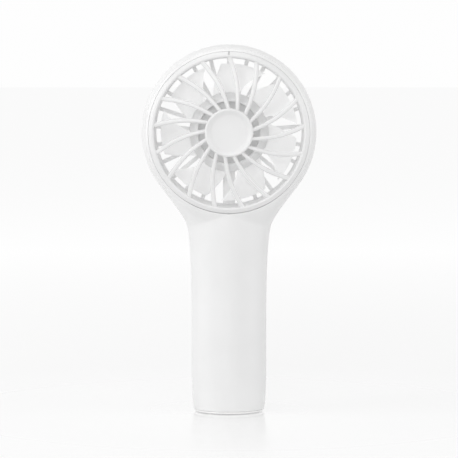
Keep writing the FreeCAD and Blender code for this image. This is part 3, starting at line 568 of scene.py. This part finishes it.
def rear_openings():
    """Cutters for the button, the lamp window, the charging socket and the neck screws."""
    inside, wall, outside = 12 * MM, 18 * MM, 24 * MM
    button = Vector(((BUTTON_LOW[0] + BUTTON_HIGH[0]) / 2, wall, (BUTTON_LOW[2] + BUTTON_HIGH[2]) / 2))
    button_radius = 5.75 * MM
    cutters = [peg("button_way", button, button_radius, outside - inside)]
    lens_middle = (LENS_LOW[2] + LENS_HIGH[2]) / 2
    lens_width, lens_height = 1.05 * MM, 6.1 * MM
    cutters.append(block("lamp_way", (-lens_width, inside, lens_middle - lens_height),
                         (lens_width, outside, lens_middle + lens_height), 0.3 * MM))
    room, port_corner = 0.3 * MM, 1.85 * MM
    cutters.append(block("port_way", (SOCKET_LOW[0] - room, inside, SOCKET_LOW[2] - room),
                         (SOCKET_HIGH[0] + room, outside, SOCKET_HIGH[2] + room), port_corner, 8))
    screw_low, screw_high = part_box("shell_screws")
    head_radius, way_radius, way_depth = 2 * MM, 2.2 * MM, 16 * MM
    for side in (-1, 1):
        spot = Vector((side * (screw_high[0] - head_radius), wall, (screw_low[2] + screw_high[2]) / 2))
        cutters.append(peg("screw_way", spot, way_radius, way_depth))
    return cutters


class FAN_OT_base(bpy.types.Operator):
    """Model the base cap and its soft pad"""
    bl_idname = "fan.base"
    bl_label = "Base"

    def execute(self, context):
        colours = context.scene.fan_colours
        casing = context.scene.fan_casing
        low, top = CAP_LOW[2] / MM, CAP_HIGH[2] / MM
        seam = casing.foot / MM - 0.12
        outer = outline_width(casing, casing.foot) / MM
        pad, pad_top = PAD_HIGH[0] / MM, PAD_HIGH[2] / MM
        cap = spun("base_cover", [
            (0, pad_top + 0.1, 0), (pad + 0.2, pad_top + 0.1, 0.1), (pad + 0.2, low, 0.2),
            (outer - 0.75, low, 0.5), (outer, seam, 0.12), (outer - 2.4, seam, 0.1),
            (outer - 2.4, top, 0.3), (outer - 3.8, top, 0.3), (outer - 3.8, seam + 1, 0.3),
            (0, seam + 1, 0),
        ], "HANDLE")
        finish_piece(cap, "casing", "casing_white", bpy.data.materials["casing_white"], "base_cap")
        foot = spun("base_foot_pad", [
            (0, 0.3, 0), (pad - 2.6, 0.3, 0.1), (pad - 2.2, 0, 0.15), (pad, 0, 0.4),
            (pad, pad_top, 0.1), (0, pad_top, 0),
        ], "HANDLE")
        rubber = surface("pad_silicone", colours.silicone, 0.6, 0.0005, 0.00003)
        finish_piece(foot, "casing", "pad_grey", rubber, "base_pad")
        return {"FINISHED"}


# Grille

def spoke_middle(grille, part):
    """Where a spoke's middle line is, across and outwards in millimetres, from rim, 0, to disc, 1."""
    outer = grille.opening / MM + 0.8
    inner = grille.disc_radius / MM - 1
    sweep, bow = 4.2, 1.75
    across = sweep * part + bow * math.sin(math.pi * part)
    return Vector((across, outer + (inner - outer) * part))


def spoke_point(grille, u, v):
    """A point of the first spoke, round its section by u and from rim to disc by v."""
    middle = spoke_middle(grille, v)
    ahead = spoke_middle(grille, v + 0.01) - spoke_middle(grille, v - 0.01)
    side = Vector((ahead.y, -ahead.x)).normalized() * -1
    width = grille.spoke_width / MM * (0.92 + 0.1 * math.sin(math.pi * min(1, v * 1.2)) - 0.1 * v)
    crest = (grille.ring_crest - 0.55 * MM) / MM
    crest += ((grille.disc_crest - 0.9 * MM) / MM - crest) * ease(v * 1.02)
    back = grille.spoke_back / MM
    angle = math.tau * u
    bulge = 2.6
    cosine, sine = math.cos(angle), math.sin(angle)
    sideways = width / 2 * math.copysign(abs(cosine) ** (2 / bulge), cosine)
    depth = (crest - back) / 2 * math.copysign(abs(sine) ** (2 / bulge), sine)
    spot = middle + side * sideways
    return AXLE + Vector((spot.x, -(crest + back) / 2 - depth, spot.y)) * MM


class FAN_OT_grille(bpy.types.Operator):
    """Model the removable front grille: ring, spokes and dished disc"""
    bl_idname = "fan.grille"
    bl_label = "Front grille"

    def execute(self, context):
        grille = context.scene.fan_grille
        white = surface("grille_white", context.scene.fan_colours.grille, 0.34, 0.0003, 0.000015,
                        skin=0.1)
        outer = grille.ring_radius / MM - 0.05
        inner = grille.opening / MM
        lip = context.scene.fan_casing.lip_depth / MM
        crest = grille.ring_crest / MM
        ring = spun("grille_ring", [
            (inner, -16.7, 0.2), (outer - 1.9, -16.7, 0.2), (outer - 1.9, -lip + 1.1, 0.1),
            (outer, -lip + 1.1, 0.1), (outer, -lip, 0.12), (outer - 0.5, -lip - 0.4, 0.5),
            (inner + 0.9, -crest, 0.8), (inner, -crest + 0.5, 0.4),
        ], "AXLE", 256)
        carve(ring, block("tick", AXLE + Vector((-0.3, -crest - 1, 39.5)) * MM,
                          AXLE + Vector((0.3, -crest + 2, 41.6)) * MM))
        smooth(ring)
        finish_piece(ring, "grille", "grille_white", white, "front_grille")
        face = grille.disc_crest / MM
        radius = grille.disc_radius / MM
        floor_depth = face - grille.disc_dish / MM
        disc = spun("grille_disc", [
            (0, -floor_depth, 0), (radius - 2.9, -floor_depth, 2.4), (radius - 0.95, -face, 0.35),
            (radius - 0.1, -face + 0.25, 0.4), (radius, -grille.spoke_back / MM - 0.9, 0.5),
            (radius - 1.2, -grille.spoke_back / MM - 0.4, 0.3), (0, -grille.spoke_back / MM - 0.4, 0),
        ], "AXLE", 192)
        finish_piece(disc, "grille", "grille_white", white)
        spokes = formed("grille_spokes", 24, 26, lambda u, v: spoke_point(grille, u, v), closed=True)
        step = math.tau / grille.spokes
        ring_of(spokes, [step * number for number in range(1, grille.spokes)])
        smooth(spokes, 60)
        finish_piece(spokes, "grille", "grille_white", white)
        return {"FINISHED"}


# Impeller

def blade_edges(part):
    """Turn of a blade's rear and front edges from its root's start, in degrees, from hub to tip."""
    rear = 22.2 * part - 3.8 * part ** 2
    front = 38.2 + 18.2 * part + 1.0 * part ** 2
    return rear, front


def blade_point(rotor, u, v):
    """A point of the first blade, round its section by u and from hub to tip by v."""
    root = rotor.hub_radius / MM - 0.9
    radius = root + (rotor.tip_radius / MM - root) * v
    rear, front = blade_edges(v)
    angle = math.tau * u
    along = (1 - math.cos(angle)) / 2
    thick = rotor.blade_thick / MM / 2 * abs(math.sin(angle)) ** 0.7 * (1.15 - 0.35 * v)
    thick = math.copysign(thick, math.sin(angle))
    turn = math.radians(rear + (front - rear) * along)
    behind, ahead, camber = 7.6, 9.6, 1.6
    depth = behind * (1 - along) - ahead * along + camber * math.sin(math.pi * along)
    pitch = math.atan2(behind + ahead, radius * math.radians(front - rear))
    turn += thick * math.sin(pitch) / radius
    depth += thick * math.cos(pitch)
    return AXLE + Vector((radius * math.sin(turn), depth, radius * math.cos(turn))) * MM


class FAN_OT_impeller(bpy.types.Operator):
    """Model the impeller: stepped hub and swept blades"""
    bl_idname = "fan.impeller"
    bl_label = "Impeller"

    def execute(self, context):
        rotor = context.scene.fan_rotor
        white = surface("impeller_white", context.scene.fan_colours.impeller, 0.38, 0.0004, 0.000012,
                        skin=0.1)
        radius = rotor.hub_radius / MM
        well = rotor.well_radius / MM
        hub = spun("impeller_hub", [
            (1.52, -9.5, 0.2), (3.5, -9.5, 0.4), (3.5, -8, 0.5), (well, -8, 0.5), (well, -13, 0.15),
            (well + 1.2, -12.9, 1.0), (radius, -9.2, 3.0), (radius, 8.4, 0.4), (18.55, 8.4, 0.2),
            (18.55, -6.2, 0.3), (1.52, -6.2, 0.2),
        ], "AXLE", 192)
        finish_piece(hub, "impeller", "blade_white", white, "impeller")
        # The blades glow a little: painted light that brightens them inside the shaded duct.
        blade_painted_glow = surface("blade_white", context.scene.fan_colours.impeller, 0.38, 0.0004, 0.000012,
                       skin=0.1, glow=0.22)
        blades = formed("impeller_blades", 44, 18, lambda u, v: blade_point(rotor, u, v), closed=True)
        first_turn = math.radians(26.2)
        step = math.tau / rotor.blades
        blades.data.transform(about_axle(first_turn))
        ring_of(blades, [step * number for number in range(1, rotor.blades)])
        smooth(blades, 50)
        finish_piece(blades, "impeller", "blade_white", blade_painted_glow)
        return {"FINISHED"}


# Rear guard

class FAN_OT_guard(bpy.types.Operator):
    """Model the rear guard: ring, straight ribs, motor bowl and cover"""
    bl_idname = "fan.guard"
    bl_label = "Rear guard"

    def execute(self, context):
        guard = context.scene.fan_guard
        # The guard's white glows a little: painted light that brightens the ring, bowl, ribs and cover
        # where the duct shades them.
        white = surface("guard_white", context.scene.fan_colours.guard, 0.38, 0.0004, 0.000015,
                        skin=0.1, glow=0.12)
        rear = GUARD_HIGH[1] / MM
        ring = spun("guard_ring", [
            (38.1, 16.6, 0.2), (42.7, 16.6, 0.2), (42.7, 18.2, 0.2), (41.2, 18.2, 0.1),
            (41.2, rear, 0.3), (38.1, rear, 0.5),
        ], "AXLE", 256)
        finish_piece(ring, "casing", "guard_white", white, "rear_guard")
        bowl = spun("motor_bowl", [
            (5, 10, 0.2), (17, 10, 0.8), (17, rear, 0.4), (15.4, rear, 0.2), (15.4, 12, 0.3),
            (5, 12, 0.2),
        ], "AXLE", 192)
        finish_piece(bowl, "casing", "guard_white", white)
        rib_front, rib_inner, rib_outer = 16.7 * MM, 16.4 * MM, 38.9 * MM
        half = guard.rib_width / 2
        rib = block("guard_ribs", AXLE + Vector((-half, rib_front, rib_inner)),
                    AXLE + Vector((half, GUARD_HIGH[1] - 0.15 * MM, rib_outer)), 0.55 * MM)
        places = [k for k in range(1, guard.ribs) if k not in (guard.ribs // 2, guard.ribs // 2 + 1)]
        ring_of(rib, [math.tau / guard.ribs * place for place in places])
        smooth(rib, 40)
        finish_piece(rib, "casing", "guard_white", white)
        wide = guard.lead_rib / 2
        channel = block("lead_rib", AXLE + Vector((-wide, rib_front, -rib_outer)),
                        AXLE + Vector((wide, GUARD_HIGH[1] - 0.1 * MM, -rib_inner)), 0.6 * MM)
        carve(channel, block("way", AXLE + Vector((-wide + MM, 17.5 * MM, -45 * MM)),
                             AXLE + Vector((wide - MM, 19.4 * MM, -10 * MM)), 0.3 * MM))
        smooth(channel, 40)
        finish_piece(channel, "casing", "guard_white", white)
        cover = spun("motor_cap", [
            (0, 19.3, 0), (15.2, 19.3, 0.1), (15.2, rear, 0.3), (12.4, rear + 0.75, 3.0),
            (0, COVER_HIGH[1] / MM, 0),
        ], "AXLE", 192)
        finish_piece(cover, "casing", "guard_white", white, "motor_cover")
        inner, outer = 38, 39.4
        duct = spun("duct_liner", [
            (inner, DUCT_LOW[1] / MM, 0.3), (outer, DUCT_LOW[1] / MM, 0.3),
            (outer, DUCT_HIGH[1] / MM, 0.2), (inner, DUCT_HIGH[1] / MM, 0.2),
        ], "AXLE", 256)
        matt = surface("duct_white", context.scene.fan_colours.guard, 0.5, 0.0004, 0.00002)
        finish_piece(duct, "casing", "duct_white", matt, "air_duct")
        return {"FINISHED"}


class FAN_OT_controls(bpy.types.Operator):
    """Model the power button and the lamp window"""
    bl_idname = "fan.controls"
    bl_label = "Button and lamps"

    def execute(self, context):
        middle = (BUTTON_LOW[2] + BUTTON_HIGH[2]) / 2
        shift = Vector((0, 0, middle)) - AXLE
        face = BUTTON_HIGH[1] / MM
        button = spun("button_cap", [
            (0, 13.6, 0), (1.6, 13.6, 0.2), (1.6, 15, 0.3), (6.55, 15, 0.2), (6.55, 15.85, 0.2),
            (5.45, 15.85, 0.2), (5.45, face - 0.1, 0.6), (4.6, face, 0.6), (3.2, face - 0.35, 2.5),
            (0, face - 0.4, 0),
        ], "AXLE", 96)
        button.data.transform(Matrix.Translation(shift))
        white = surface("button_white", (0.74, 0.74, 0.75, 1), 0.24, 0.0004, 0.000006)
        finish_piece(button, "button", "button_white", white, "power_button")
        lens_middle = (LENS_LOW[2] + LENS_HIGH[2]) / 2
        lens = block("lamp_window", (-0.9 * MM, 10.1 * MM, lens_middle - 5.9 * MM),
                     (0.9 * MM, LENS_HIGH[1], lens_middle + 5.9 * MM), 0.3 * MM)
        smooth(lens)
        frosted = surface("lens_frosted", (0.7, 0.72, 0.74, 1), 0.22, 0.0003, 0.000004)
        frosted.node_tree.nodes["Principled BSDF"].inputs["Transmission Weight"].default_value = 0.35
        finish_piece(lens, "casing", "lens_clear", frosted, "light_guide")
        return {"FINISHED"}


class FAN_OT_inner_finishes(bpy.types.Operator):
    """Give the inner pieces their finishes"""
    bl_idname = "fan.inner_finishes"
    bl_label = "Inner finishes"

    def execute(self, context):
        steel = banded("turned_steel", (0.5, 0.5, 0.51, 1), (0.62, 0.62, 0.63, 1), 0.3, 900, "Y", 1.0)
        laminated = banded("laminations", (0.22, 0.23, 0.25, 1), (0.45, 0.45, 0.47, 1), 0.4, 1600, "Y",
                           1.0, 0)
        copper = banded("wound_copper", (0.35, 0.12, 0.05, 1), (0.72, 0.32, 0.14, 1), 0.3, 1400, "Y",
                        1.0, 0.6)
        sleeve = banded("lead_sleeve", (0.42, 0.03, 0.03, 1), (0.5, 0.05, 0.04, 1), 0.42, 120, "Z")
        ferrite = surface("ferrite", (0.06, 0.06, 0.065, 1), 0.55, 0.0003, 0.00003, 0.1)
        aluminium = surface("cast_aluminium", (0.6, 0.6, 0.61, 1), 0.4, 0.0005, 0.00004, metallic=1.0)
        mask = surface("solder_mask", (0.01, 0.12, 0.04, 1), 0.3, 0.0006, 0.00001, 0.15)
        epoxy = surface("moulded_epoxy", (0.012, 0.012, 0.013, 1), 0.5, 0.0002, 0.00001, 0.1)
        phosphor = surface("lamp_phosphor", (0.85, 0.75, 0.3, 1), 0.4, 0.0002, 0.00001)
        cell_blue = surface("cell_sleeve", (0.02, 0.07, 0.3, 1), 0.28, 0.002, 0.00002, 0.06)
        black = surface("cradle_plastic", (0.02, 0.02, 0.021, 1), 0.5, 0.0003, 0.00002, 0.1)
        nickel = surface("nickel_strip", (0.6, 0.58, 0.54, 1), 0.28, 0.0004, 0.00001, metallic=1.0)
        finishes = {
            steel: ("motor_shaft", "shaft_clip", "rotor_cup", "motor_bearings", "motor_screws",
                    "shell_screws", "board_screws", "base_screws", "usb_socket"),
            laminated: ("stator_core",),
            copper: ("stator_windings",),
            sleeve: ("motor_leads",),
            ferrite: ("rotor_magnet",),
            aluminium: ("motor_base",),
            mask: ("main_board", "motor_board"),
            epoxy: ("board_parts", "button_switch", "switch_plunger", "usb_tongue"),
            phosphor: ("status_leds",),
            cell_blue: ("battery_cell",),
            black: ("battery_cradle",),
            nickel: ("battery_tabs",),
        }
        for material, nodes in finishes.items():
            for node in nodes:
                piece = frame["nodes"][node]
                piece.data.materials.clear()
                piece.data.materials.append(material)
        return {"FINISHED"}


# Stage

# Name, place and width in metres, and power in watts
SOFTBOXES = (
    ("front_softbox", (-0.3, -1.75, 0.5), 0.6, 6.2),
    ("left_softbox", (-1.2, -0.35, 0.5), 0.9, 5.2),
    ("right_softbox", (1.2, -0.35, 0.4), 0.9, 3.6),
    ("top_softbox", (-0.2, -0.3, 1.4), 0.9, 4.5),
)
LIT_SPOT = Vector((0, 0, 0.1))


class FAN_OT_stage(bpy.types.Operator):
    """Lay the floor and set the lights and the camera"""
    bl_idname = "fan.stage"
    bl_label = "Stage"

    def execute(self, context):
        start_clean()
        bpy.ops.mesh.primitive_plane_add(size=60)
        floor = bpy.context.object
        floor.name = "floor"
        floor.data.materials.append(self.floor_gloss(context))
        context.scene.world = self.studio_walls()
        for name, spot, size, power in SOFTBOXES:
            self.add_softbox(name, spot, size, power)
        context.scene.view_settings.view_transform = "Standard"
        self.add_camera(context)
        return {"FINISHED"}

    def floor_gloss(self, context):
        """A glowing white sheet whose gloss turns dull and fades with the distance from the fan."""
        material, nodes, links = new_material("floor_white")
        nodes.remove(nodes["Principled BSDF"])
        glow = nodes.new("ShaderNodeEmission")
        glow.inputs["Color"].default_value = context.scene.fan_colours.floor
        matt = nodes.new("ShaderNodeBsdfDiffuse")
        matt.inputs["Color"].default_value = (0.35, 0.35, 0.35, 1)
        body = nodes.new("ShaderNodeAddShader")
        links.new(glow.outputs["Emission"], body.inputs[0])
        links.new(matt.outputs["BSDF"], body.inputs[1])
        coordinates = nodes.new("ShaderNodeTexCoord")
        away = nodes.new("ShaderNodeVectorMath")
        away.operation = "LENGTH"
        links.new(coordinates.outputs["Object"], away.inputs[0])
        brightening = ranged(nodes, links, away.outputs["Value"], (0.1, 1.2), (0.62, 0.77))
        strength = self.product(nodes, links, brightening, self.dimmed(nodes, links, 1.0, 0.72))
        links.new(strength, glow.inputs["Strength"])
        dulling = ranged(nodes, links, away.outputs["Value"], (0.02, 0.16), (0.05, 0.3))
        fading = ranged(nodes, links, away.outputs["Value"], (0.04, 0.21), (1.0, 0.0))
        gloss = nodes.new("ShaderNodeBsdfGlossy")
        gloss.inputs["Color"].default_value = (1, 1, 1, 1)
        links.new(dulling, gloss.inputs["Roughness"])
        edge = nodes.new("ShaderNodeFresnel")
        edge.inputs["IOR"].default_value = 1.9
        sheet = nodes.new("ShaderNodeMixShader")
        links.new(self.product(nodes, links, edge.outputs["Fac"], fading), sheet.inputs["Fac"])
        links.new(body.outputs["Shader"], sheet.inputs[1])
        links.new(gloss.outputs["BSDF"], sheet.inputs[2])
        links.new(sheet.outputs["Shader"], nodes["Material Output"].inputs["Surface"])
        return material

    def product(self, nodes, links, one, other):
        """Two values multiplied."""
        times = nodes.new("ShaderNodeMath")
        times.operation = "MULTIPLY"
        links.new(one, times.inputs[0])
        links.new(other, times.inputs[1])
        return times.outputs["Value"]

    def dimmed(self, nodes, links, shown, given):
        """A strength that shows as one value and lights the object with another."""
        rays = nodes.new("ShaderNodeLightPath")
        return ranged(nodes, links, rays.outputs["Is Diffuse Ray"], (0, 1), (shown, given))

    def studio_walls(self):
        """White walls all round that give less light than they show."""
        world = bpy.data.worlds.new("studio")
        world.use_nodes = True
        nodes, links = world.node_tree.nodes, world.node_tree.links
        nodes["Background"].inputs["Color"].default_value = (0.99, 0.99, 0.99, 1)
        links.new(self.dimmed(nodes, links, 1.0, 0.54), nodes["Background"].inputs["Strength"])
        return world

    def add_softbox(self, name, spot, size, power):
        """A square lamp that faces the middle of the fan."""
        start_clean()
        bpy.ops.object.light_add(type="AREA", location=spot)
        lamp = bpy.context.object
        lamp.name = name
        lamp.data.size = size
        lamp.data.energy = power
        lamp.rotation_euler = (LIT_SPOT - Vector(spot)).to_track_quat("-Z", "Y").to_euler()

    def add_camera(self, context):
        """A long lens a little above the axle, tipped down so that the whole fan is in view."""
        distance = 1.34
        lift = math.radians(1.3)
        pitch = math.radians(3.45)
        spot = AXLE + Vector((0, -distance * math.cos(lift), distance * math.sin(lift)))
        start_clean()
        bpy.ops.object.camera_add(location=spot, rotation=(math.pi / 2 - pitch, 0, 0))
        camera = bpy.context.object
        camera.name = "camera"
        camera.data.sensor_width = 36
        camera.data.lens = 203.6
        camera.data.clip_end = 200
        context.scene.camera = camera


class FAN_PT_sidebar(bpy.types.Panel):
    """Lists the fan's operators"""
    bl_idname = "FAN_PT_sidebar"
    bl_label = "Handheld fan"
    bl_space_type = "VIEW_3D"
    bl_region_type = "UI"
    bl_category = "Fan"

    def draw(self, context):
        for operator in OPERATORS:
            self.layout.operator(operator.bl_idname)


GROUPS = {
    "fan_casing": FanCasingSizes,
    "fan_grille": FanGrilleSizes,
    "fan_rotor": FanRotorSizes,
    "fan_guard": FanGuardSizes,
    "fan_colours": FanColours,
}
OPERATORS = (FAN_OT_casing, FAN_OT_base, FAN_OT_grille, FAN_OT_impeller, FAN_OT_guard, FAN_OT_controls,
             FAN_OT_inner_finishes, FAN_OT_stage)


def register():
    for group in GROUPS.values():
        bpy.utils.register_class(group)
    for name, group in GROUPS.items():
        setattr(bpy.types.Scene, name, PointerProperty(type=group))
    for item in OPERATORS + (FAN_PT_sidebar,):
        bpy.utils.register_class(item)


def unregister():
    for item in reversed(OPERATORS + (FAN_PT_sidebar,)):
        bpy.utils.unregister_class(item)
    for name, group in GROUPS.items():
        delattr(bpy.types.Scene, name)
        bpy.utils.unregister_class(group)


def main():
    register()
    bpy.ops.fan.casing()
    bpy.ops.fan.base()
    bpy.ops.fan.grille()
    bpy.ops.fan.impeller()
    bpy.ops.fan.guard()
    bpy.ops.fan.controls()
    bpy.ops.fan.inner_finishes()
    bpy.ops.fan.stage()
    start_clean()


if __name__ == "__main__":
    main()
